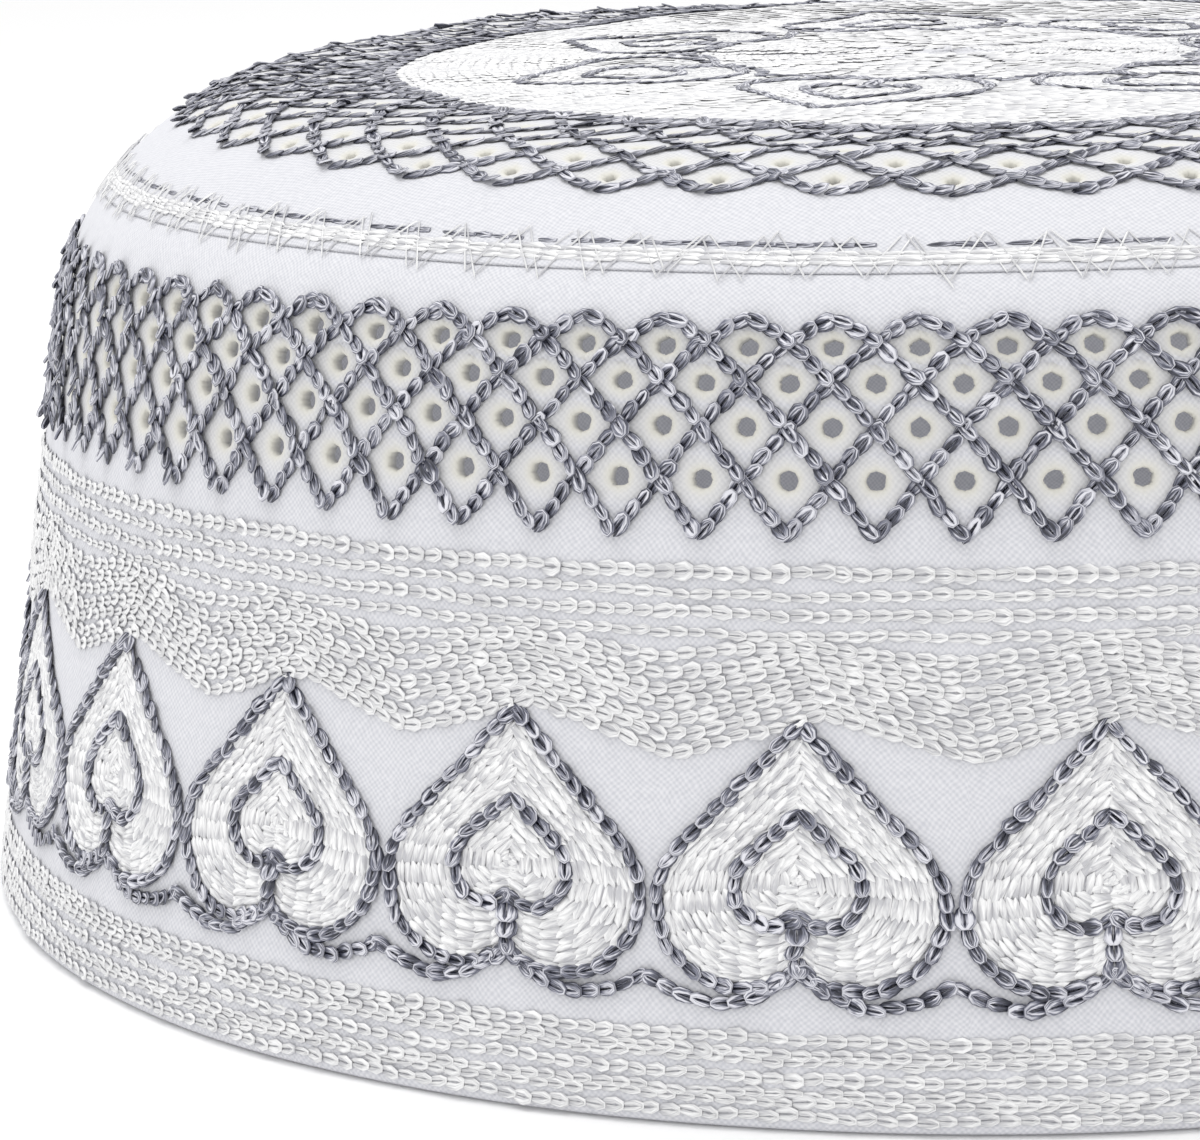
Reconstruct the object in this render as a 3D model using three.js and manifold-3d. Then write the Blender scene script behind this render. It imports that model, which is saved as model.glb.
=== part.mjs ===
// Kufi: a brimless embroidered cloth cap that stands on its rim, with its hollow facing down.
// Millimetres, +Z up, origin at the centre of the rim's circle on the surface that it stands on.
// Angles run from -Y, the front, towards +X. A place on the cloth is given by its angle, its way
// along the outer profile from the rim, and its depth inward from the outer face.
import * as THREE from 'three';
import { mergeGeometries, mergeVertices } from 'three/addons/utils/BufferGeometryUtils.js';
import Module from 'manifold-3d';

const degree = Math.PI / 180;

// Cloth
const rimRadius = 92;
const wall = 1.7;
const gap = 0.3;

// Outer profile: a straight cone, a round shoulder tangent to it and a shallow dome
const coneAngle = 8.57 * degree;
const coneTop = 54.2;
const shoulderRadius = 23.3;
const shoulderEnd = 76.8 * degree;
const domeRise = 1.2;

// The soft crown settles to one side: its height falls with x and y, from nothing to full between two heights.
// Behind the crown's middle it swells a little, and there the slope with y fades out
const lean = { perX: 0.005, perY: -0.0346, from: 58, to: 72, backFrom: 50, backTo: 72 };
const swell = { rise: 0.85, y: 48, width: 9 };

// Lap seam: the crown's edge covers the band's top margin
const lapEdge = 66.2;
const lapDepth = 3;
const lapSlope = 5;

// Facets round the cap, a whole number for each eyelet of the row that is cut through them
const bandEyelets = { count: 80, first: 0.55 * degree, along: 49.0, radius: 1.0, facets: 1 };
const crownEyelets = { count: 48, first: 0.1 * degree, along: 78.0, radius: 1.0, facets: 2 };
const eyeletSides = 6;

const cloth = { color: '#ecebf1', roughness: 0.9, metalness: 0 };

// Lengths of the profile's three stretches, and the centres of its two arcs
const coneLength = coneTop / Math.cos(coneAngle);
const shoulderLength = shoulderRadius * (shoulderEnd - coneAngle);
const shoulderCentre = {
  r: rimRadius - coneTop * Math.tan(coneAngle) - shoulderRadius * Math.cos(coneAngle),
  z: coneTop - shoulderRadius * Math.sin(coneAngle),
};
const domeEdge = {
  r: shoulderCentre.r + shoulderRadius * Math.cos(shoulderEnd),
  z: shoulderCentre.z + shoulderRadius * Math.sin(shoulderEnd),
};
const domeRadius = (domeEdge.r ** 2 + domeRise ** 2) / (2 * domeRise);
const domeSpan = Math.asin(domeEdge.r / domeRadius);
const domeCentre = domeEdge.z - domeRadius * Math.cos(domeSpan);
const ringAlong = coneLength + shoulderLength;
const middleAlong = ringAlong + domeRadius * domeSpan;

// Tilt of the outer face's normal above the horizontal
function normalTilt(along) {
  if (along <= coneLength) return coneAngle;
  if (along <= ringAlong) return coneAngle + (along - coneLength) / shoulderRadius;
  return Math.PI / 2 - domeSpan + (along - ringAlong) / domeRadius;
}

// Radius and height at a way along the profile and a depth, kept above the floor
function profile(along, depth) {
  const tilt = normalTilt(along);
  const out = { r: Math.cos(tilt), z: Math.sin(tilt) };
  let r = rimRadius - along * Math.sin(coneAngle) - depth * out.r;
  let z = along * Math.cos(coneAngle) - depth * out.z;
  if (along > ringAlong) {
    r = (domeRadius - depth) * out.r;
    z = domeCentre + (domeRadius - depth) * out.z;
  } else if (along > coneLength) {
    r = shoulderCentre.r + (shoulderRadius - depth) * out.r;
    z = shoulderCentre.z + (shoulderRadius - depth) * out.z;
  }
  return new THREE.Vector2(Math.max(r, 0), Math.max(z, 0));
}

// Height change of the leaning crown at a point
function leanDrop(x, y, z) {
  const share = THREE.MathUtils.smoothstep(z, lean.from, lean.to);
  const fade = 1 - THREE.MathUtils.smoothstep(y, lean.backFrom, lean.backTo);
  const raised = swell.rise * Math.exp(-(((y - swell.y) / swell.width) ** 2));
  return share * (lean.perX * x + lean.perY * y * fade - raised);
}

// Closed mesh with shared vertices, without the flat triangles that a lathe leaves on its axis
function toSolid(wasm, geometry) {
  geometry.deleteAttribute('normal');
  geometry.deleteAttribute('uv');
  const merged = mergeVertices(geometry, 0.001);
  const index = merged.index.array;
  const triangles = [];
  for (let i = 0; i < index.length; i += 3) {
    const [a, b, c] = index.subarray(i, i + 3);
    if (a !== b && b !== c && c !== a) triangles.push(a, b, c);
  }
  return new wasm.Manifold(new wasm.Mesh({
    numProp: 3,
    vertProperties: new Float32Array(merged.attributes.position.array),
    triVerts: new Uint32Array(triangles),
  }));
}

// Cloth turned from a section, a list of [along, depth], and then leaned
function turnedCloth(section, eyelets) {
  const facets = eyelets.count * eyelets.facets;
  const start = eyelets.first + Math.PI / facets;
  const points = section.map(([along, depth]) => profile(along, depth));
  const geometry = new THREE.LatheGeometry(points, facets, start);
  geometry.rotateX(Math.PI / 2);
  const position = geometry.attributes.position;
  for (let i = 0; i < position.count; i++) {
    const [x, y, z] = [position.getX(i), position.getY(i), position.getZ(i)];
    position.setZ(i, z - leanDrop(x, y, z));
  }
  return geometry;
}

// One row of short prisms that stand square to the cloth, to cut its eyelets
function eyeletRow(eyelets) {
  const tilt = normalTilt(eyelets.along);
  const middle = profile(eyelets.along, wall / 2);
  const prisms = [];
  for (let i = 0; i < eyelets.count; i++) {
    const angle = eyelets.first + (i * 2 * Math.PI) / eyelets.count;
    const side = new THREE.Vector3(Math.sin(angle), -Math.cos(angle), 0);
    const normal = side.clone().multiplyScalar(Math.cos(tilt));
    normal.z = Math.sin(tilt);
    const place = side.clone().multiplyScalar(middle.x);
    place.z = middle.y - leanDrop(place.x, place.y, middle.y);
    const prism = new THREE.CylinderGeometry(eyelets.radius, eyelets.radius, 3 * wall, eyeletSides);
    prism.applyQuaternion(new THREE.Quaternion().setFromUnitVectors(new THREE.Vector3(0, 1, 0), normal));
    prism.translate(place.x, place.y, place.z);
    prisms.push(prism);
  }
  return mergeGeometries(prisms);
}

// Named mesh of a cloth section with its eyelets cut through
function clothPiece(wasm, name, section, eyelets) {
  const solid = toSolid(wasm, turnedCloth(section, eyelets));
  const { vertProperties, triVerts } = solid.subtract(toSolid(wasm, eyeletRow(eyelets))).getMesh();
  const geometry = new THREE.BufferGeometry();
  geometry.setAttribute('position', new THREE.BufferAttribute(vertProperties, 3));
  geometry.setIndex(new THREE.BufferAttribute(triVerts, 1));
  geometry.computeVertexNormals();
  const mesh = new THREE.Mesh(geometry, new THREE.MeshStandardMaterial(cloth));
  mesh.name = name;
  return mesh;
}

// Band: up the outer face, in under the lap, along its tucked margin, and down the inner face
function bandSection() {
  const shelf = lapEdge - gap;
  const tuck = wall + gap;
  const marginTop = lapEdge + lapDepth;
  const ways = [0, 38, 45, coneLength, 58.5, 62.5];
  const outer = ways.map((along) => [along, 0]);
  const margin = [[shelf, 0], [shelf, tuck], [marginTop, tuck], [marginTop, tuck + wall]];
  const inner = [[shelf, tuck + wall], [shelf - lapSlope, wall]];
  const lining = ways.slice(0, 4).reverse().map((along) => [along, wall]);
  return [...outer, ...margin, ...inner, ...lining, [0, 0]];
}

// Crown: from its middle out over the top and down to the lap's edge, then back along the inside
function crownSection() {
  const shoulderSteps = 4;
  const ways = [lapEdge];
  for (let i = 1; i <= shoulderSteps; i++) ways.push(lapEdge + ((ringAlong - lapEdge) * i) / shoulderSteps);
  ways.push(ringAlong + 20, middleAlong);
  const inside = ways.slice().reverse().map((along) => [along, wall]);
  const outside = ways.map((along) => [along, 0]);
  return [...inside, ...outside];
}

const wasm = await Module();
wasm.setup();

const kufi = new THREE.Group();
kufi.add(clothPiece(wasm, 'side_band', bandSection(), bandEyelets));
kufi.add(clothPiece(wasm, 'crown', crownSection(), crownEyelets));

export default kufi;
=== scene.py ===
# Embroidered kufi: a white cotton cap with grey and white chain stitch, standing on its rim
import bpy
import numpy as np
from mathutils import Matrix, Vector


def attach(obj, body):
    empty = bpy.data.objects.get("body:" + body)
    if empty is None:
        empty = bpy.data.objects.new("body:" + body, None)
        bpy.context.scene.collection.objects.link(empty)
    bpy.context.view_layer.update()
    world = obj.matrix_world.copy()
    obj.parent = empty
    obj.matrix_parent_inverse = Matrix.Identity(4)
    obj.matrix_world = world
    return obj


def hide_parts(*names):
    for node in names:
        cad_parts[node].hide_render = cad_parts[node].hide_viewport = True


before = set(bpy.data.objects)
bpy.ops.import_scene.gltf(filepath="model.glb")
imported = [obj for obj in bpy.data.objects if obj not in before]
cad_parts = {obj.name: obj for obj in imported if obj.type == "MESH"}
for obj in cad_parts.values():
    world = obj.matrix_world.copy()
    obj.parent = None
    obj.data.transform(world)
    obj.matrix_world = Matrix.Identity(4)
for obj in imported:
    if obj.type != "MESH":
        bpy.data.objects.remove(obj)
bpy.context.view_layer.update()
rng = np.random.default_rng(24)
mm = 0.001
turn = 2 * np.pi
print("frame loaded:", sorted(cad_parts))

# The cap's outer form, in millimetres, as the solids have it
capForm = dict(
    rimRadius=92.0, coneAngle=np.radians(8.57), coneTop=54.2,      # straight side
    shoulderRadius=23.3, shoulderEnd=np.radians(76.8),             # round shoulder, tangent to it
    domeRise=1.2,                                                  # shallow top
    leanX=0.005, leanY=-0.0346, leanFrom=58.0, leanTo=72.0,        # soft crown settles to one side
    backFrom=50.0, backTo=72.0,                                    # and its slope fades out at the back,
    swellRise=0.85, swellY=48.0, swellWidth=9.0,                   # behind a low swell
    lapEdge=66.2, lapDepth=3.0,                                    # crown's edge over the band's top margin
)
coneAngle, shoulderRadius = capForm["coneAngle"], capForm["shoulderRadius"]
coneLength = capForm["coneTop"] / np.cos(coneAngle)
ringAlong = coneLength + shoulderRadius * (capForm["shoulderEnd"] - coneAngle)
shoulderR = capForm["rimRadius"] - coneLength * np.sin(coneAngle) - shoulderRadius * np.cos(coneAngle)
shoulderZ = capForm["coneTop"] - shoulderRadius * np.sin(coneAngle)
domeEdge = shoulderR + shoulderRadius * np.cos(capForm["shoulderEnd"])
domeRadius = (domeEdge ** 2 + capForm["domeRise"] ** 2) / (2 * capForm["domeRise"])
domeSpan = np.arcsin(domeEdge / domeRadius)
domeZ = shoulderZ + shoulderRadius * np.sin(capForm["shoulderEnd"]) - domeRadius * np.cos(domeSpan)
middleAlong = ringAlong + domeRadius * domeSpan


# Radius, height and tilt of the outward normal at a way along the profile: line, arc, then flat arc
def capProfile(along):
    onCone, onShoulder = along <= coneLength, along <= ringAlong
    shoulderTilt = coneAngle + (along - coneLength) / shoulderRadius
    domeTilt = np.pi / 2 - domeSpan + (along - ringAlong) / domeRadius
    tilt = np.where(onCone, coneAngle, np.where(onShoulder, shoulderTilt, domeTilt))
    r = np.where(onShoulder, shoulderR + shoulderRadius * np.cos(tilt), domeRadius * np.cos(tilt))
    z = np.where(onShoulder, shoulderZ + shoulderRadius * np.sin(tilt), domeZ + domeRadius * np.sin(tilt))
    r = np.where(onCone, capForm["rimRadius"] - along * np.sin(coneAngle), r)
    z = np.where(onCone, along * np.cos(coneAngle), z)
    return r, z, tilt


# Smooth step from 0 to 1 between two values: three squares less two cubes of the share
def eased(value, low, high):
    share = np.clip((value - low) / (high - low), 0, 1)
    return share * share * (3 - 2 * share)


# Point of the cap at an angle from the front, a way along the profile and a lift above the cloth;
# height then drops by the lean times x and y, eased in between two heights and out behind the middle
def capPoint(angle, along, lift=0.0):
    r, z, tilt = capProfile(along)
    r = np.maximum(r + lift * np.cos(tilt), 0.0)
    z = np.maximum(z + lift * np.sin(tilt), 0.0)
    x, y = r * np.sin(angle), -r * np.cos(angle)
    fade = 1 - eased(y, capForm["backFrom"], capForm["backTo"])
    swell = capForm["swellRise"] * np.exp(-((y - capForm["swellY"]) / capForm["swellWidth"]) ** 2)
    drop = capForm["leanX"] * x + capForm["leanY"] * y * fade - swell
    z = z - eased(z, capForm["leanFrom"], capForm["leanTo"]) * drop
    return np.stack([x, y, z], -1) * mm


# Outward normal of the cloth, from the profile's tilt alone
def capNormal(angle, along):
    tilt = capProfile(along)[2]
    return np.stack([np.cos(tilt) * np.sin(angle), -np.cos(tilt) * np.cos(angle), np.sin(tilt)], -1)


# Angle and way along for a flat place on the crown, in millimetres from its middle
def crownPlace(x, y):
    return np.arctan2(x, -y), middleAlong - domeRadius * np.arcsin(np.hypot(x, y) / domeRadius)


# One smooth mesh from whole arrays: points, triangles, a UV for each corner, and values for each point
def putMesh(name, points, faces, material, cornerUv, values):
    mesh = bpy.data.meshes.new(name)
    mesh.vertices.add(len(points))
    mesh.vertices.foreach_set("co", points.astype(np.float32).ravel())
    mesh.loops.add(faces.size)
    mesh.loops.foreach_set("vertex_index", faces.astype(np.int32).ravel())
    mesh.polygons.add(len(faces))
    mesh.polygons.foreach_set("loop_start", np.arange(0, faces.size, 3, dtype=np.int32))
    mesh.uv_layers.new(name="threadUv").data.foreach_set("uv", cornerUv.astype(np.float32).ravel())
    for key, value in values.items():
        mesh.attributes.new(key, "FLOAT", "POINT").data.foreach_set("value", value.astype(np.float32))
    mesh.update(calc_edges=True)
    mesh.validate()
    mesh.shade_smooth()
    mesh.materials.append(material)
    piece = bpy.data.objects.new(name, mesh)
    bpy.context.scene.collection.objects.link(piece)
    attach(piece, "root")
    print("made", name, "triangles", len(faces))
    return piece


# Materials
# Linear colour of an sRGB hex: a straight foot, then a power of 2.4
def linear(hexText):
    c = np.array([int(hexText[i:i + 2], 16) for i in (1, 3, 5)]) / 255
    c = np.where(c <= 0.04045, c / 12.92, ((c + 0.055) / 1.055) ** 2.4)
    return (*c, 1.0)


# Adds one node with its settings, and links or sets its inputs
def addNode(tree, kind, inputs=None, **settings):
    node = tree.nodes.new(kind)
    for key, value in settings.items():
        setattr(node, key, value)
    for key, value in (inputs or {}).items():
        if isinstance(value, bpy.types.NodeSocket):
            tree.links.new(value, node.inputs[key])
        else:
            node.inputs[key].default_value = value
    return node


def newMaterial(name):
    material = bpy.data.materials.new(name)
    material.use_nodes = True
    material.node_tree.nodes.clear()
    return material, material.node_tree


# Bleached plain-weave cotton: matt, a grid of thread crowns with painted shade in the gaps between them, and a
# cream scorch round each punched eyelet
clothLook = dict(
    # the gaps' colour is painted shade between the threads
    crown="#e2e2e6", paintedGrooveShade="#cbccd2", scorch="#dfddd4",             # thread tops, gaps, eyelet rims
    threadPitch=0.26, weaveDepth=0.04,                               # millimetres
    weaveBump=0.35, weaveShare=0.5,
    waver=0.35, slub=1.6,                                            # bent and uneven yarn, per millimetre
    roughness=0.85, specular=0.25, sheen=0.15, sheenRoughness=0.5)


def cottonCloth():
    material, tree = newMaterial("bleachedCotton")
    uv = addNode(tree, "ShaderNodeUVMap", uv_map="threadUv").outputs["UV"]
    wander = addNode(tree, "ShaderNodeTexNoise", {"Vector": uv, "Scale": clothLook["waver"], "Detail": 2.0})
    bent = addNode(tree, "ShaderNodeVectorMath", {0: wander.outputs["Color"], 1: uv}, operation="ADD")
    split = addNode(tree, "ShaderNodeSeparateXYZ", {0: bent.outputs[0]})
    waves = []
    for axis in ("X", "Y"):
        phase = addNode(tree, "ShaderNodeMath", {0: split.outputs[axis], 1: np.pi / clothLook["threadPitch"]},
                        operation="MULTIPLY")
        waves.append(addNode(tree, "ShaderNodeMath", {0: phase.outputs[0]}, operation="SINE").outputs[0])
    weave = addNode(tree, "ShaderNodeMath", {0: waves[0], 1: waves[1]}, operation="MULTIPLY").outputs[0]
    slub = addNode(tree, "ShaderNodeTexNoise", {"Vector": uv, "Scale": clothLook["slub"], "Detail": 3.0})
    level = addNode(tree, "ShaderNodeMath", {0: weave, 1: clothLook["weaveShare"], 2: slub.outputs["Fac"]},
                    operation="MULTIPLY_ADD").outputs[0]
    # Painted shade in the weave's gaps, the cloth's own white on its thread crowns
    tone = addNode(tree, "ShaderNodeMix", {
        0: level, 6: linear(clothLook["paintedGrooveShade"]), 7: linear(clothLook["crown"])}, data_type="RGBA").outputs[2]
    cream = addNode(tree, "ShaderNodeAttribute", attribute_name="cream").outputs["Fac"]
    color = addNode(tree, "ShaderNodeMix", {0: cream, 6: tone, 7: linear(clothLook["scorch"])},
                    data_type="RGBA").outputs[2]
    bump = addNode(tree, "ShaderNodeBump", {"Height": weave, "Strength": clothLook["weaveBump"],
                                            "Distance": clothLook["weaveDepth"] * mm})
    shader = addNode(tree, "ShaderNodeBsdfPrincipled", {
        "Base Color": color, "Normal": bump.outputs[0], "Roughness": clothLook["roughness"],
        "Specular IOR Level": clothLook["specular"], "Sheen Weight": clothLook["sheen"],
        "Sheen Roughness": clothLook["sheenRoughness"]})
    addNode(tree, "ShaderNodeOutputMaterial", {"Surface": shader.outputs[0]})
    return material


# Twisted rayon floss: satin filaments run along each leg of a stitch. Painted shade darkens the legs at their
# edges and where they dive under the next stitch, and a painted highlight brightens the round head. Real
# filaments are too fine to show, so a few bundles of them are drawn across a leg, as painted highlight streaks
# with painted shade between
def floss(name, look):
    material, tree = newMaterial(name)
    uv = addNode(tree, "ShaderNodeUVMap", uv_map="threadUv").outputs["UV"]
    split = addNode(tree, "ShaderNodeSeparateXYZ", {0: uv})
    streak = addNode(tree, "ShaderNodeTexNoise", {"Scale": 1.0, "Detail": 2.0, "Roughness": 0.6})
    values = dict(across=split.outputs["X"], way=split.outputs["Y"], streak=streak.outputs["Fac"],
                  tone=addNode(tree, "ShaderNodeAttribute", attribute_name="tone").outputs["Fac"])
    # Painted light: lifted runs from painted shade at the tail to a painted highlight at the head, shaded adds
    # painted shade at the edges
    # Each row's value is its first term times its second, plus its third
    for key, *terms in (
            ("lay", "way", look["twist"], 0.0), ("bundle", "across", look["filaments"], "lay"),
            ("seed", "tone", look["spread"], 0.0), ("centred", "across", 2.0, -1.0),
            ("edge", "centred", "centred", 0.0), ("head", "way", 1.0, -0.5),
            ("lifted", "head", look["paintedTailShadeHeadHighlight"], "streak"), ("shaded", "edge", -look["paintedEdgeShade"], "lifted"),
            ("strand", "tone", 1.0, -0.5), ("level", "strand", look["mixed"], "shaded")):
        inputs = {i: values.get(term, term) for i, term in enumerate(terms)}
        values[key] = addNode(tree, "ShaderNodeMath", inputs, operation="MULTIPLY_ADD").outputs[0]
    place = addNode(tree, "ShaderNodeCombineXYZ", {0: values["bundle"], 1: values["way"], 2: values["seed"]})
    tree.links.new(place.outputs[0], streak.inputs["Vector"])
    # The ramp's middle is the floss's own colour; its dark end is painted shade between strands, its light end
    # a painted highlight on their crests
    ramp = addNode(tree, "ShaderNodeValToRGB", {"Fac": values["level"]})
    ramp.color_ramp.elements[0].position = look["darkAt"]
    ramp.color_ramp.elements[1].position = look["lightAt"]
    ramp.color_ramp.elements[0].color = linear(look["dark"])
    ramp.color_ramp.elements[1].color = linear(look["light"])
    ramp.color_ramp.elements.new(look["midAt"]).color = linear(look["mid"])
    bump = addNode(tree, "ShaderNodeBump", {"Height": values["streak"], "Strength": look["bump"],
                                            "Distance": look["filamentDepth"] * mm})
    shader = addNode(tree, "ShaderNodeBsdfPrincipled", {
        "Base Color": ramp.outputs["Color"], "Normal": bump.outputs[0], "Roughness": look["roughness"],
        "Specular IOR Level": look["specular"]})
    addNode(tree, "ShaderNodeOutputMaterial", {"Surface": shader.outputs[0]})
    return material


cotton = cottonCloth()
# In both floss looks the dark and light stops are painted shade and painted highlight, and the head and edge
# factors paint shade at tails and edges and a highlight on heads
greyFloss = floss("greyRayonFloss", dict(
    dark="#262836", mid="#6c6e7f", light="#e2e2e9", darkAt=0.385, midAt=0.50, lightAt=0.65, filaments=6.5,
    twist=1.2, spread=57.0, paintedTailShadeHeadHighlight=0.16, paintedEdgeShade=0.09, mixed=0.06, bump=0.7, filamentDepth=0.12,
    roughness=0.32, specular=0.7))
whiteFloss = floss("whiteRayonFloss", dict(
    dark="#c2c2c6", mid="#dededf", light="#fafafa", darkAt=0.34, midAt=0.48, lightAt=0.66, filaments=4.0,
    twist=1.2, spread=57.0, paintedTailShadeHeadHighlight=0.22, paintedEdgeShade=0.07, mixed=0.06, bump=0.5, filamentDepth=0.12,
    roughness=0.36, specular=0.6))
print("materials made")


# Cloth panels
# Waves of the soft cloth: height in millimetres, count round the cap, slant for each millimetre up, phase
clothWaves = ((0.10, 7, 0.11, 0.0), (0.07, 17, -0.2, 1.0))


# Low uneven swell of the cloth: the sum of its sine waves
def clothRelief(angle, along):
    return sum(height * np.sin(count * angle + slant * along + phase)
               for height, count, slant, phase in clothWaves)


bandPanel = dict(
    count=80, first=np.radians(0.55), wall=1.3, flatRadius=88.0,
    eyelets=(49.0, 53.0, 56.3, 59.1), borders=(46.8, 51.0, 54.65, 57.7, 60.4),
    rings=(0.77, 0.95, 1.45), dips=(0.40, 0.22, 0.08), cream=(1.0, 0.9, 0.35))
crownPanel = dict(
    count=48, first=np.radians(0.1), wall=1.3,
    eyelets=(78.0, 80.7, 83.7, 87.1, 90.85), borders=(76.75, 79.35, 82.2, 85.4, 89.0, 92.6),
    rings=(0.52, 0.75, 1.15), dips=(0.35, 0.2, 0.07), cream=(1.0, 0.9, 0.35))


# Steps along each side of an eyelet's tile, uneven share of its punched rim, scorch on its inner edge
tile = dict(steps=4, ragged=0.05, innerCream=0.4)


# Rows of (along, depth) carried round the cap, one column for each step of a tile's side
def clothStrip(panel, rows):
    columns = tile["steps"] * panel["count"]
    along, depth = np.array(rows).T
    angle = panel["first"] + np.arange(columns + 1) * turn / columns
    angle, along2 = np.meshgrid(angle, along)
    depth2 = np.repeat(depth[:, None], columns + 1, 1)
    index = np.arange(angle.size).reshape(angle.shape)
    a, b, c, d = index[:-1, :-1], index[1:, :-1], index[1:, 1:], index[:-1, 1:]
    faces = np.concatenate([np.stack([a, b, c], -1), np.stack([a, c, d], -1)]).reshape(-1, 3)
    return angle.ravel(), along2.ravel(), depth2.ravel(), np.zeros(angle.size), faces


# Tiles: border points of a four-sided patch, and rings of as many points that close in on its eyelet,
# on the outer face and on the inner face, with a wall between them through the hole
def eyeletTiles(panel):
    side = np.linspace(-1, 1, tile["steps"] + 1)[:-1]
    one = np.ones(tile["steps"])
    borderX = np.concatenate([side, one, -side, -one])
    borderY = np.concatenate([-one, side, one, -side])
    rows = len(panel["eyelets"])
    row = np.repeat(np.arange(rows), panel["count"])
    column = np.tile(np.arange(panel["count"]), rows)
    step = turn / panel["count"]
    centre = np.array(panel["eyelets"])[row][:, None]
    low, high = np.array(panel["borders"])[row][:, None], np.array(panel["borders"])[row + 1][:, None]
    middle = (panel["first"] + (column + 0.5 * (row % 2)) * step)[:, None]
    radius = capProfile(centre)[0]
    edgeAngle = middle + borderX * step / 2
    edgeAlong = low + (borderY + 1) / 2 * (high - low)
    awayX, awayY = (edgeAngle - middle) * radius, edgeAlong - centre
    reach = np.hypot(awayX, awayY)
    ragged = 1 + tile["ragged"] * rng.standard_normal(reach.shape)
    layers = []
    for size, dip, cream in zip(panel["rings"], panel["dips"], panel["cream"]):
        grow = size * (ragged if size == panel["rings"][0] else 1) / reach
        layers.append((middle + awayX * grow / radius, centre + awayY * grow, dip, cream))
    layers.append((edgeAngle, edgeAlong, 0.0, 0.0))
    layers.append((layers[0][0], layers[0][1], panel["wall"], tile["innerCream"]))
    layers.append((edgeAngle, edgeAlong, panel["wall"], 0.0))
    angle = np.stack([part[0] for part in layers], 1)
    along = np.stack([part[1] for part in layers], 1)
    depth = np.zeros(angle.shape) + np.array([part[2] for part in layers])[None, :, None]
    cream = np.zeros(angle.shape) + np.array([part[3] for part in layers])[None, :, None]
    index = np.arange(angle.size).reshape(angle.shape)
    after = np.roll(index, -1, axis=2)
    faces = []
    for inner, outer in ((0, 1), (1, 2), (2, 3), (5, 4), (4, 0)):
        a, b, c, d = index[:, inner], index[:, outer], after[:, outer], after[:, inner]
        faces += [np.stack([a, b, c], -1), np.stack([a, c, d], -1)]
    return angle.ravel(), along.ravel(), depth.ravel(), cream.ravel(), np.concatenate(faces).reshape(-1, 3)


weldStep = 0.001 * mm


# Welds strips and tiles to one closed panel; the weave's UV is in millimetres of flat cloth
def clothPanel(name, parts, flat):
    shift = np.cumsum([0] + [len(part[0]) for part in parts])
    angle, along, depth, cream = [np.concatenate([part[i] for part in parts]) for i in range(4)]
    faces = np.concatenate([part[4] + s for part, s in zip(parts, shift)])
    points = capPoint(angle, along, clothRelief(angle, along) - depth)
    uv = np.stack(flat(angle, along), -1)
    first, back = np.unique(np.round(points / weldStep).astype(np.int64), axis=0,
                            return_index=True, return_inverse=True)[1:]
    welded = back.reshape(-1)[faces]
    whole = (welded[:, 0] != welded[:, 1]) & (welded[:, 1] != welded[:, 2]) & (welded[:, 2] != welded[:, 0])
    return putMesh(name, points[first], welded[whole], cotton, uv[faces[whole]], {"cream": cream[first]})


lapEdge = capForm["lapEdge"]
bandWall, crownWall = bandPanel["wall"], crownPanel["wall"]
bandLow, bandHigh = bandPanel["borders"][0], bandPanel["borders"][-1]
# Sections as (along, depth): the rounded hem, and the band's margin that thins and tucks in under the lap
hem = [(0.9, 0.0), (0.35, 0.1), (0.1, 0.35), (0.0, bandWall / 2), (0.1, bandWall - 0.25), (0.5, bandWall)]
bandLower = ([(a, 0.0) for a in np.linspace(bandLow, 2.0, 32)] + hem
             + [(a, bandWall) for a in np.linspace(4.0, bandLow, 9)])
marginTop = lapEdge + capForm["lapDepth"]
bandUpper = [(bandHigh, bandWall), (62.4, bandWall), (64.6, bandWall + 0.2), (67.0, bandWall + 0.75),
             (marginTop, 2.5), (marginTop + 0.3, 1.9), (marginTop, 1.3), (67.7, 0.9), (66.8, 0.55),
             (66.3, 0.16), (65.9, 0.05), (64.7, 0.0), (63.5, 0.0), (62.0, 0.0), (bandHigh, 0.0)]
bandCloth = clothPanel(
    "band_cloth",
    [clothStrip(bandPanel, bandLower), eyeletTiles(bandPanel), clothStrip(bandPanel, bandUpper)],
    lambda angle, along: ((angle - bandPanel["first"]) * bandPanel["flatRadius"], along))
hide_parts("side_band")

crownLow, crownHigh = crownPanel["borders"][0], crownPanel["borders"][-1]
# The folded lip is thin, lies almost flush with the band, and has one soft crease
lip = [(70.2, -0.02), (69.0, -0.06), (67.9, -0.08), (67.4, -0.09), (67.1, -0.03), (66.8, -0.09),
       (66.5, -0.06), (lapEdge, 0.0), (66.4, 0.09), (66.8, 0.25), (67.7, 0.5), (69.0, 0.92), (70.3, crownWall)]
crownLower = ([(a, 0.0) for a in np.linspace(crownLow, 71.2, 6)] + lip
              + [(a, crownWall) for a in np.linspace(72.0, crownLow, 4)])
crownInside = [(a, crownWall) for a in np.linspace(crownHigh, middleAlong, 12)]
crownOutside = [(a, 0.0) for a in np.linspace(middleAlong, crownHigh, 24)]
crownCloth = clothPanel(
    "crown_cloth",
    [clothStrip(crownPanel, crownLower), eyeletTiles(crownPanel), clothStrip(crownPanel, crownInside),
     clothStrip(crownPanel, crownOutside)],
    lambda angle, along: ((middleAlong - along) * np.sin(angle), -(middleAlong - along) * np.cos(angle)))
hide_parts("crown")


# Stitches
strip = dict(archTurn=1.9, hiddenTail=0.1)     # half of the arch's turn in radians, tail in link lengths


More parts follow.
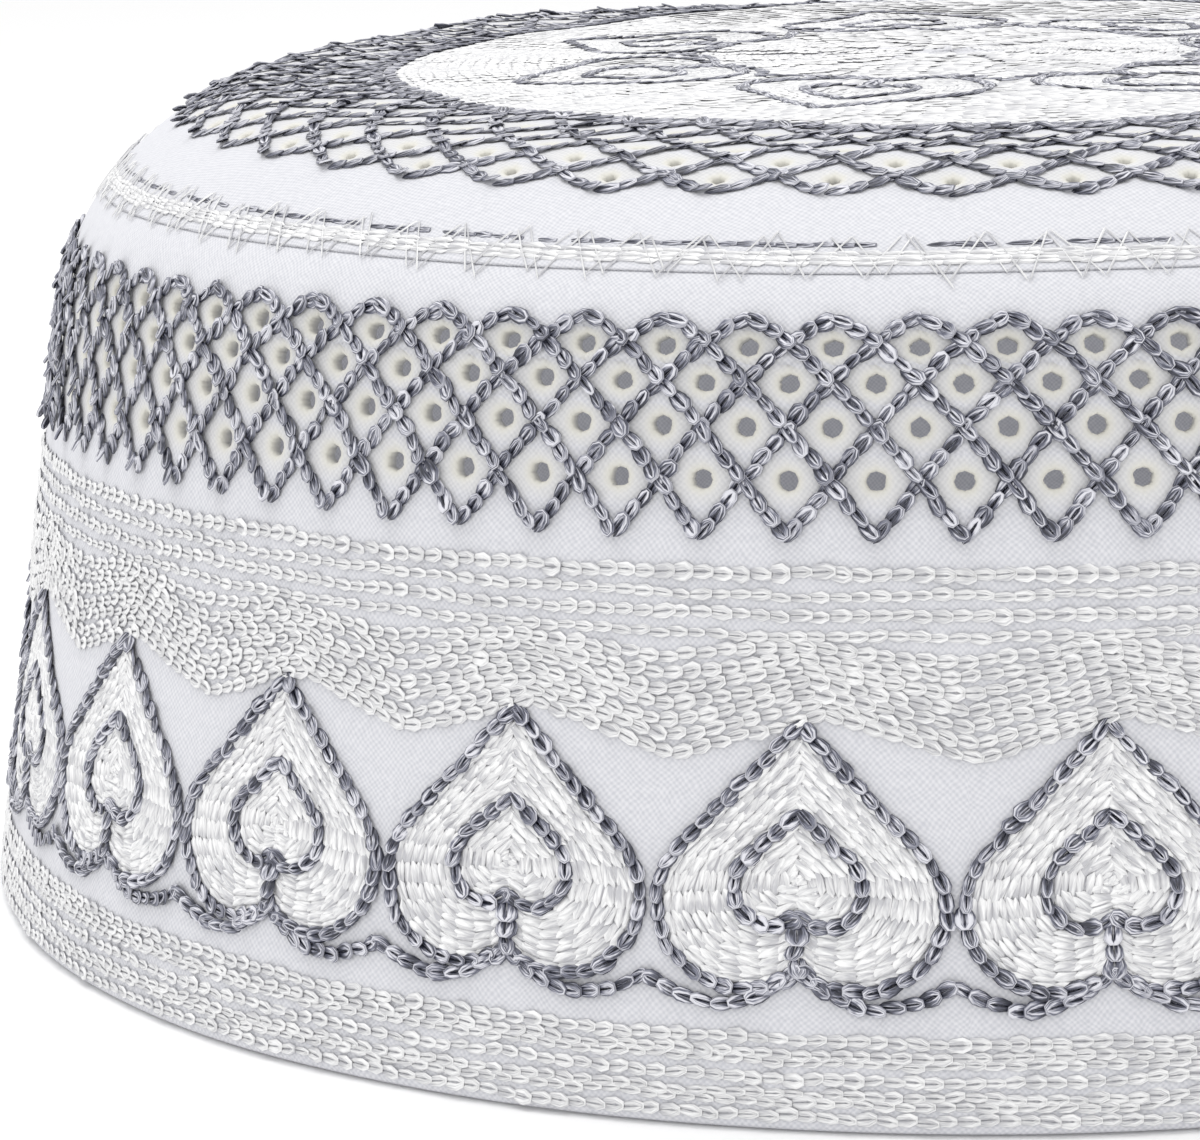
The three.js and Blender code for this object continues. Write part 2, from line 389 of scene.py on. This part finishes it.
# A link is a loop of thread: an arched strip carried from a hidden tail along one leg, over the round head
# and back down the mirrored leg; a pair has the two legs apart, a strand is one leg only. Stations: x along in
# link lengths, y across, z up, half width and half height in chain widths. UV: across the strip, and from 0 at
# the tail to 1 at the head
def loopLink(stations, arch, kind="loop", stretch=1.35):
    path = np.array(stations, float)
    if kind == "loop":
        path = np.concatenate([path, path[::-1] * np.array([1, -1, 1, 1, 1])])
    x, y, z, wide, high = path.T
    x = x * stretch
    aheadX, aheadY = np.gradient(x), np.gradient(y)
    length = np.hypot(aheadX, aheadY)
    q = np.linspace(-strip["archTurn"], strip["archTurn"], arch)
    sideways = wide[1:-1, None] * np.sin(q)
    ringX = (x[1:-1, None] - sideways * (aheadY / length)[1:-1, None]) / stretch
    ringY = y[1:-1, None] + sideways * (aheadX / length)[1:-1, None]
    ringZ = z[1:-1, None] + high[1:-1, None] * np.cos(q)
    ends = np.stack([x / stretch, y, z], -1)[[0, -1]]
    shape = np.concatenate([ends[:1], np.stack([ringX, ringY, ringZ], -1).reshape(-1, 3), ends[1:]])
    rings = len(x) - 2
    head = np.clip((shape[:, 0] + strip["hiddenTail"]) / (1 + strip["hiddenTail"]), 0, 1)
    uv = np.stack([np.concatenate([[0.5], np.tile(np.linspace(0, 1, arch), rings), [0.5]]), head], -1)
    index = 1 + np.arange(rings * arch).reshape(rings, arch)
    a, b = index[:-1, :-1].ravel(), index[:-1, 1:].ravel()
    c, d = index[1:, 1:].ravel(), index[1:, :-1].ravel()
    tail, tip = np.zeros(arch - 1, int), np.full(arch - 1, len(shape) - 1)
    faces = np.concatenate([np.stack([tail, index[0, 1:], index[0, :-1]], -1), np.stack([a, b, c], -1),
                            np.stack([a, c, d], -1), np.stack([index[-1, :-1], index[-1, 1:], tip], -1)])
    corners = shape[faces]
    if np.cross(corners[:, 1] - corners[:, 0], corners[:, 2] - corners[:, 0])[:, 2].sum() < 0:
        faces = faces[:, ::-1]
    if kind == "pair":
        shape, uv = np.concatenate([shape, shape * np.array([1, -1, 1])]), np.concatenate([uv, uv])
        faces = np.concatenate([faces, faces[:, ::-1] + rings * arch + 2])
    return shape, faces, uv


greyLink = loopLink([
    (-0.35, 0.03, -0.05, 0, 0), (0.00, 0.16, 0.10, 0.18, 0.15), (0.42, 0.24, 0.20, 0.24, 0.19),
    (0.82, 0.25, 0.29, 0.25, 0.20), (1.09, 0.11, 0.37, 0.20, 0.16)], 4)
farGreyLink = loopLink([
    (-0.35, 0.03, -0.05, 0, 0), (0.02, 0.17, 0.11, 0.19, 0.15), (0.58, 0.26, 0.23, 0.25, 0.20),
    (1.04, 0.14, 0.36, 0.22, 0.17)], 4)
rowLink = loopLink([
    (-0.18, 0.04, 0.00, 0, 0), (0.20, 0.20, 0.13, 0.20, 0.15), (0.70, 0.27, 0.19, 0.22, 0.17),
    (1.05, 0.10, 0.24, 0.18, 0.15)], 3)
fillLink = loopLink([
    (-0.28, 0.10, 0.00, 0, 0), (0.10, 0.22, 0.15, 0.25, 0.16), (0.84, 0.26, 0.21, 0.27, 0.17),
    (1.17, 0.14, 0.19, 0, 0)], 4, "pair")
threadLink = loopLink([
    (0.0, 0, -0.6, 0, 0), (0.07, 0, 0.3, 0.5, 0.5), (0.5, 0, 1.0, 0.5, 0.5), (0.93, 0, 0.3, 0.5, 0.5),
    (1.0, 0, -0.6, 0, 0)], 3, "strand")


# Splits a fine path into links of nearly one length; columns: start and end angle, along and lift
def chainLinks(angle, along, step, lift=None):
    lift = np.zeros(len(angle)) if lift is None else lift
    r, z = capProfile(along)[:2]
    line = np.stack([r * np.sin(angle), -r * np.cos(angle), z], -1)
    way = np.concatenate([[0], np.cumsum(np.linalg.norm(np.diff(line, axis=0), axis=1))])
    at = np.linspace(0, way[-1], max(2, round(way[-1] / step)) + 1)
    a, s, h = np.interp(at, way, angle), np.interp(at, way, along), np.interp(at, way, lift)
    return np.stack([a[:-1], s[:-1], h[:-1], a[1:], s[1:], h[1:]], -1)


# The same links at even angles round the cap
def allRound(links, count):
    turns = np.arange(count) * turn / count
    copies = np.repeat(links[None], count, 0)
    copies[:, :, [0, 3]] += turns[:, None, None]
    return copies.reshape(-1, 6)


# Spread of each link's roll, width, place, length, skew about a place along it, and pinch
jitter = dict(roll=0.16, size=0.07, side=0.05, length=0.05, skew=0.09, skewAt=0.4, pinch=0.1)


# Sets one link shape on every link: x runs from start to end, z along the cloth's normal
def stitches(name, groups, material):
    points, faces, uvs, tones = [], [], [], []
    shift = 0
    for links, (shape, shapeFaces, shapeUv), width, rise in groups:
        start, end = capPoint(*links[:, :3].T), capPoint(*links[:, 3:].T)
        middle = (links[:, :3] + links[:, 3:]) / 2
        run = end - start
        length = np.linalg.norm(run, axis=1)[:, None]
        ahead = run / length
        side = np.cross(capNormal(middle[:, 0], middle[:, 1]), ahead)
        side /= np.linalg.norm(side, axis=1)[:, None]
        up = np.cross(ahead, side)
        roll = rng.normal(0, jitter["roll"] * rise, (len(links), 1))
        side, up = side * np.cos(roll) + up * np.sin(roll), up * np.cos(roll) - side * np.sin(roll)
        size = width * mm * rng.normal(1, jitter["size"], (len(links), 1, 1))
        swell = (clothRelief(middle[:, 0], middle[:, 1]) * mm)[:, None]
        start = start + up * swell + side * rng.normal(0, jitter["side"] * mm, (len(links), 1))
        stretch = length * rng.normal(1, jitter["length"], (len(links), 1))
        skew = rng.normal(0, jitter["skew"], (len(links), 1, 1))
        pinch = rng.normal(1, jitter["pinch"], (len(links), 1, 1))
        across = shape[None, :, 1:2] * pinch + skew * (shape[None, :, :1] - jitter["skewAt"])
        place = (start[:, None] + (stretch * ahead)[:, None] * shape[None, :, :1]
                 + size * (side[:, None] * across + up[:, None] * shape[None, :, 2:3] * rise))
        points.append(place.reshape(-1, 3))
        each = shapeFaces[None] + (np.arange(len(links)) * len(shape))[:, None, None]
        faces.append(each.reshape(-1, 3) + shift)
        uvs.append(np.tile(shapeUv[shapeFaces], (len(links), 1, 1)))
        tones.append(np.repeat(rng.random(len(links)), len(shape)))
        shift += len(points[-1])
    return putMesh(name, np.concatenate(points), np.concatenate(faces), material,
                   np.concatenate(uvs), {"tone": np.concatenate(tones)})


# Heart outline from apex round one lobe to the cusp: a straight flank tangent to an elliptical lobe.
# Columns: away from the heart's axis, height along it; the other half is its mirror image
def heartLine(apex, lobeAway, lobeHeight, lobeWide, lobeHigh, points=60):
    nearX, nearY = -lobeAway / lobeWide, (apex - lobeHeight) / lobeHigh
    touch = np.arctan2(nearY, nearX) - np.arccos(1 / np.hypot(nearX, nearY))
    cusp = -np.arccos(-lobeAway / lobeWide)
    q = np.linspace(touch, cusp, points)
    lobe = np.stack([lobeAway + lobeWide * np.cos(q), lobeHeight + lobeHigh * np.sin(q)], -1)
    flank = np.linspace(0, 1, points)[:, None] * lobe[0] + np.linspace(1, 0, points)[:, None] * [0, apex]
    return np.concatenate([flank[:-1], lobe])


outerHeart = heartLine(apex=30.8, lobeAway=4.4, lobeHeight=17.0, lobeWide=6.6, lobeHigh=6.3)
innerHeart = heartLine(apex=24.1, lobeAway=2.1, lobeHeight=18.4, lobeWide=2.9, lobeHigh=2.9)
heartCore = np.array([0.0, 18.9])
hearts = dict(
    count=24, first=np.radians(7.37), flatRadius=89.0, greyStep=1.38, greyWidth=1.28, greyRise=1.0,
    stem=(15.6, 12.0), stemWidth=1.8, stemRise=0.9,
    fillStep=1.55, fillWidth=1.3, fillRise=0.6, fillRows=5, coreRows=(0.22, 0.44, 0.66, 0.88),
    cuspTop=12.2, scallopLow=9.5, scallopTurn=5.8, scallopPeak=11.4, scallopPower=1.8)
hearts["halfPitch"] = np.pi / hearts["count"] * hearts["flatRadius"]


# Scallop under a heart: falls from the cusp to its lowest and rises to a peak between two hearts
def scallopHeight(away):
    far = np.abs(away)
    fall = np.clip(1 - far / hearts["scallopTurn"], 0, 1) ** hearts["scallopPower"]
    rise = np.clip((far - hearts["scallopTurn"]) / (hearts["halfPitch"] - hearts["scallopTurn"]), 0, 1) ** 2
    low = hearts["scallopLow"]
    return low + (hearts["cuspTop"] - low) * fall + (hearts["scallopPeak"] - low) * rise


# A flat line laid on the band: sideways becomes an angle at the flat radius
def onBand(line):
    return hearts["first"] + line[:, 0] / hearts["flatRadius"], line[:, 1]


mirror = np.array([-1.0, 1.0])
scallopAway = np.linspace(0, hearts["halfPitch"], 60)
scallop = np.stack([scallopAway, scallopHeight(scallopAway)], -1)
stemLine = np.array([(0.0, hearts["stem"][0]), (0.0, hearts["stem"][1])])
fillShares = np.arange(1, hearts["fillRows"] + 1) / (hearts["fillRows"] + 1)
fillLines = [outerHeart * (1 - share) + innerHeart * share for share in fillShares]
fillLines += [innerHeart * (1 - share) + heartCore * share for share in hearts["coreRows"]]


# Grey links and white fill links of one heart, put on the cloth by a placing function
def heartStitches(place):
    grey = []
    for line in (outerHeart, innerHeart, scallop):
        for half in (line, line * mirror):
            grey.append(chainLinks(*place(half), hearts["greyStep"]))
    stem = chainLinks(*place(stemLine), hearts["greyStep"])
    white = []
    for line in fillLines:
        for half in (line, (line * mirror)[::-1]):
            white.append(chainLinks(*place(half), hearts["fillStep"]))
    return np.concatenate(grey), stem, np.concatenate(white)


bandGrey, bandStem, bandFill = [allRound(links, hearts["count"]) for links in heartStitches(onBand)]
stitches("heart_outlines", [(bandGrey, greyLink, hearts["greyWidth"], hearts["greyRise"]),
                            (bandStem, greyLink, hearts["stemWidth"], hearts["stemRise"])], greyFloss)
stitches("heart_satin", [(bandFill, fillLink, hearts["fillWidth"], hearts["fillRise"])], whiteFloss)

# Straight and waving rows of white chain
whiteRows = dict(
    hem=(1.1, 2.2, 2.8, 4.05, 5.35, 5.9, 6.95), hemWidths=(1.1, 0.95, 1.0, 1.1, 0.95, 1.1, 1.15),
    upper=(37.4, 38.95, 40.45, 42.0), upperWidths=(0.95, 1.15, 1.0, 1.3), step=1.52, rise=0.85,
    wander=0.1, shift=0.013, waveShift=0.02,     # stray in millimetres, and turns that stagger the rows
    waveCount=7, waveWidth=1.2, waveTop=(36.7, 35.5), waveBottom=(31.6, 28.3))
fullTurn = np.linspace(0, turn, 1441)     # every quarter of a degree


# One value all the way round
def steady(value):
    return np.full(len(fullTurn), value)


# Hand-guided wander of a row: slow sine waves round the cap with seeded phases, in millimetres
def wander(size):
    waves = np.array([11, 23, 41, 67])
    return size * np.sin(fullTurn[:, None] * waves + rng.random(4) * turn).sum(1) / 2


rowGroups = []
rowWays = whiteRows["hem"] + whiteRows["upper"]
rowWidths = whiteRows["hemWidths"] + whiteRows["upperWidths"]
for along, width in zip(rowWays, rowWidths):
    height = along + wander(whiteRows["wander"])
    row = chainLinks(fullTurn + whiteRows["shift"] * along, height, whiteRows["step"])
    rowGroups.append((row, rowLink, width, whiteRows["rise"]))
stitches("straight_rows", rowGroups, whiteFloss)

# Wave: height falls evenly from each heart's apex to the middle between two hearts
phase = (fullTurn - hearts["first"]) / turn * hearts["count"]
fall = 2 * np.abs(phase - np.round(phase))
top = whiteRows["waveTop"][0] + (whiteRows["waveTop"][1] - whiteRows["waveTop"][0]) * fall
bottom = whiteRows["waveBottom"][0] + (whiteRows["waveBottom"][1] - whiteRows["waveBottom"][0]) * fall
waveShares = np.arange(whiteRows["waveCount"]) / (whiteRows["waveCount"] - 1)
waveLinks = []
for share in waveShares:
    height = top + (bottom - top) * share + wander(whiteRows["wander"])
    waveLinks.append(chainLinks(fullTurn + whiteRows["waveShift"] * share, height, whiteRows["step"]))
stitches("wave_rows", [(np.concatenate(waveLinks), rowLink, whiteRows["waveWidth"], whiteRows["rise"])],
         whiteFloss)


# Fine points in a half pitch, round tips and arches, and the lift of one thread over another; reaches are in
# half pitches
bend = dict(points=40, tip=0.25, tipReach=0.4, archReach=0.6, over=0.4, overReach=0.13)


# Lattice line from a lower tip: each half pitch sideways climbs a little less than the last, or more where
# ease is below zero, with a round tip below and a round arch above; lifted where it crosses the other family
def latticeLinks(lattice, way):
    h = np.linspace(0, lattice["steps"], bend["points"] * lattice["steps"] + 1)
    along = lattice["start"] + lattice["climb"] * h - lattice["ease"] * h ** 2
    along += bend["tip"] * np.clip(1 - h / bend["tipReach"], 0, 1) ** 2
    along -= lattice["arch"] * np.clip(1 - (lattice["steps"] - h) / bend["archReach"], 0, 1) ** 2
    angle = lattice["first"] + way * h * np.pi / lattice["count"]
    over = bend["over"] * np.exp(-((h - np.round(h)) / bend["overReach"]) ** 2) if way < 0 else 0 * h
    if way < 0:
        angle, along, over = angle[::-1], along[::-1], over[::-1]
    return allRound(chainLinks(angle, along, lattice["step"], over), lattice["count"])


sideLattice = dict(count=80, first=bandPanel["first"], steps=5, start=44.5, climb=4.75, ease=0.262, arch=0.35,
                   step=1.38, width=1.28, rise=1.0)
crownLattice = dict(count=48, first=crownPanel["first"], steps=6, start=75.6, climb=2.2, ease=-0.17, arch=0.0,
                    step=1.55, width=1.2, rise=0.6)
sideLines, crownLines = [np.concatenate([latticeLinks(lattice, way) for way in (1, -1)])
                         for lattice in (sideLattice, crownLattice)]
stitches("side_lattice", [(sideLines, greyLink, sideLattice["width"], sideLattice["rise"])], greyFloss)

# Crown: lattice, two grey rings that close it, hearts with their tips outward, and white rings between them
crownHearts = dict(count=7, first=np.radians(-14.8), tip=43.0, greyWidth=1.2, greyRise=0.5, stemWidth=1.7,
                   stemRise=0.45, fillRise=0.25)
edgeRings = dict(ways=(94.8, 96.1), step=1.5, width=1.4, rise=0.45)
whiteRings = dict(outer=51.2, inner=2.5, apart=1.25, step=1.7, width=1.8, rise=0.2, heartEdge=0.5)


# A flat line laid on the crown: its axis runs outward along a radius, the apex at the tip radius
def onCrown(line):
    angle = crownHearts["first"]
    out, across = crownHearts["tip"] - outerHeart[0, 1] + line[:, 1], line[:, 0]
    return crownPlace(out * np.sin(angle) + across * np.cos(angle),
                      -out * np.cos(angle) + across * np.sin(angle))


crownGrey, crownStem, crownFill = [allRound(links, crownHearts["count"]) for links in heartStitches(onCrown)]
edgeLinks = np.concatenate([
    chainLinks(fullTurn, steady(along), edgeRings["step"]) for along in edgeRings["ways"]])
stitches("crown_lattice", [
    (crownLines, farGreyLink, crownLattice["width"], crownLattice["rise"]),
    (edgeLinks, farGreyLink, edgeRings["width"], edgeRings["rise"]),
    (crownGrey, farGreyLink, crownHearts["greyWidth"], crownHearts["greyRise"]),
    (crownStem, farGreyLink, crownHearts["stemWidth"], crownHearts["stemRise"])], greyFloss)

radii = np.arange(whiteRings["outer"], whiteRings["inner"], -whiteRings["apart"])
diskLinks = np.concatenate([
    chainLinks(fullTurn + r, steady(crownPlace(r, 0.0)[1]), whiteRings["step"]) for r in radii])
spread = middleAlong - (diskLinks[:, 1] + diskLinks[:, 4]) / 2
aim = (diskLinks[:, 0] + diskLinks[:, 3]) / 2 - crownHearts["first"]
sector = turn / crownHearts["count"]
aim = aim - np.round(aim / sector) * sector
flatAway = np.abs(spread * np.sin(aim))
flatHeight = spread * np.cos(aim) - crownHearts["tip"] + outerHeart[0, 1]
# A link is inside a heart where it lies nearer the axis than the outline does, seen from the heart's core
bearing = np.arctan2(flatAway, flatHeight - heartCore[1])
outlineBearing = np.arctan2(outerHeart[:, 0], outerHeart[:, 1] - heartCore[1])
outlineReach = np.hypot(outerHeart[:, 0], outerHeart[:, 1] - heartCore[1])
order = np.argsort(outlineBearing)
inside = np.hypot(flatAway, flatHeight - heartCore[1]) < np.interp(
    bearing, outlineBearing[order], outlineReach[order]) + whiteRings["heartEdge"]
stitches("crown_satin", [
    (crownFill, fillLink, hearts["fillWidth"], crownHearts["fillRise"]),
    (diskLinks[~inside], fillLink, whiteRings["width"], whiteRings["rise"])], whiteFloss)

# Lap seam: a lumpy ridge of white chain, a half-hidden grey row, and a thin overcast thread in crossing zigzags
seam = dict(
    ridge=(67.6, 68.3), ridgeShift=0.02, ridgeStep=1.7, ridgeLift=0.04, ridgeWidth=0.85, ridgeRise=0.75,
    greyRow=69.5, greyStep=1.5, greyWidth=0.55, greyRise=0.5, greyShown=0.8,
    low=65.4, high=70.7, zigzags=92, slip=0.55,                                   # overcast thread
    threadWidth=0.16, threadRise=1.0, threadLift=0.2, turnStray=0.003, heightStray=0.25)
ridgeLift = steady(seam["ridgeLift"])
ridgeLinks = np.concatenate([
    chainLinks(fullTurn + seam["ridgeShift"] * along, steady(along), seam["ridgeStep"], ridgeLift)
    for along in seam["ridge"]])
zigAngle = np.arange(2 * seam["zigzags"]) * np.pi / seam["zigzags"]
zigAlong = np.where(np.arange(2 * seam["zigzags"]) % 2 == 0, seam["low"], seam["high"])
overcast = []
for slip, ends in ((0.0, zigAlong), (seam["slip"], seam["low"] + seam["high"] - zigAlong)):
    a = zigAngle + slip * np.pi / seam["zigzags"] + rng.normal(0, seam["turnStray"], len(zigAngle))
    s = ends + rng.normal(0, seam["heightStray"], len(zigAngle))
    lift = np.full(len(a), seam["threadLift"])
    after = np.roll(a, -1)
    after[-1] += turn
    overcast.append(np.stack([a, s, lift, after, np.roll(s, -1), lift], -1))
stitches("seam_stitches", [
    (ridgeLinks, fillLink, seam["ridgeWidth"], seam["ridgeRise"]),
    (np.concatenate(overcast), threadLink, seam["threadWidth"], seam["threadRise"])], whiteFloss)
seamGrey = chainLinks(fullTurn, steady(seam["greyRow"]), seam["greyStep"])
seamGrey = seamGrey[rng.random(len(seamGrey)) < seam["greyShown"]]
stitches("seam_grey_row", [(seamGrey, farGreyLink, seam["greyWidth"], seam["greyRise"])], greyFloss)
print("stitches made")

# Camera, at the photograph's place; angles in degrees, lens and sensor in millimetres
viewer = dict(place=(0.0, -0.37724, 0.0995), yaw=-5.19, pitch=11.08, roll=-1.48,
              lens=119.49, sensor=36.0, clip=0.01)
yaw, pitch, roll = np.radians([viewer["yaw"], viewer["pitch"], viewer["roll"]])
look = np.array([np.sin(yaw) * np.cos(pitch), np.cos(yaw) * np.cos(pitch), -np.sin(pitch)])
flatRight = np.array([np.cos(yaw), -np.sin(yaw), 0.0])
upright = np.cross(flatRight, look)
cameraRight = flatRight * np.cos(roll) + upright * np.sin(roll)
cameraUp = upright * np.cos(roll) - flatRight * np.sin(roll)
cameraData = bpy.data.cameras.new("viewer")
cameraData.lens = viewer["lens"]
cameraData.sensor_width = viewer["sensor"]
cameraData.clip_start = viewer["clip"]
camera = bpy.data.objects.new("viewer", cameraData)
turned = np.eye(4)
turned[:3, :3] = np.stack([cameraRight, cameraUp, -look], 1)
turned[:3, 3] = viewer["place"]
camera.matrix_world = Matrix(turned.tolist())
bpy.context.scene.collection.objects.link(camera)
bpy.context.scene.camera = camera

# Pale floor and soft studio light; places and sizes in metres
studio = dict(
    world=1.0, floor="#fafafa", floorRoughness=0.9, floorHalf=3.0, floorZ=-0.0002,
    keyPlace=(-0.25, 0.0, 1.1), keyAim=(0, 0, 0.04), keyPower=4.1, keySize=0.7,
    hollowPlace=(0, 0, 0.035), hollowPower=0.034, hollowSize=0.02)
floorMaterial, floorTree = newMaterial("paleFloor")
floorShader = addNode(floorTree, "ShaderNodeBsdfPrincipled", {
    "Base Color": linear(studio["floor"]), "Roughness": studio["floorRoughness"]})
addNode(floorTree, "ShaderNodeOutputMaterial", {"Surface": floorShader.outputs[0]})
floorMesh = bpy.data.meshes.new("floor")
floorCorners = np.array([(-1, -1), (1, -1), (1, 1), (-1, 1)]) * studio["floorHalf"]
floorMesh.from_pydata([(x, y, studio["floorZ"]) for x, y in floorCorners], [], [(0, 1, 2, 3)])
floorMesh.materials.append(floorMaterial)
floor = bpy.data.objects.new("floor", floorMesh)
bpy.context.scene.collection.objects.link(floor)


def softLight(name, kind, place, power):
    light = bpy.data.lights.new(name, kind)
    light.energy = studio[power]
    lamp = bpy.data.objects.new(name, light)
    lamp.location = studio[place]
    bpy.context.scene.collection.objects.link(lamp)
    return lamp


key = softLight("overheadKey", "AREA", "keyPlace", "keyPower")
key.data.size = studio["keySize"]
key.rotation_euler = (Vector(studio["keyAim"]) - key.location).to_track_quat("-Z", "Y").to_euler()
# Daylight that reaches the hollow through the cloth, seen only in the eyelets
hollow = softLight("hollowGlow", "POINT", "hollowPlace", "hollowPower")
hollow.data.shadow_soft_size = studio["hollowSize"]
hollow.visible_camera = False
world = bpy.data.worlds.new("studio")
world.use_nodes = True
world.node_tree.nodes["Background"].inputs["Color"].default_value = (1, 1, 1, 1)
world.node_tree.nodes["Background"].inputs["Strength"].default_value = studio["world"]
bpy.context.scene.world = world
bpy.context.scene.view_settings.view_transform = "Standard"
print("studio made")
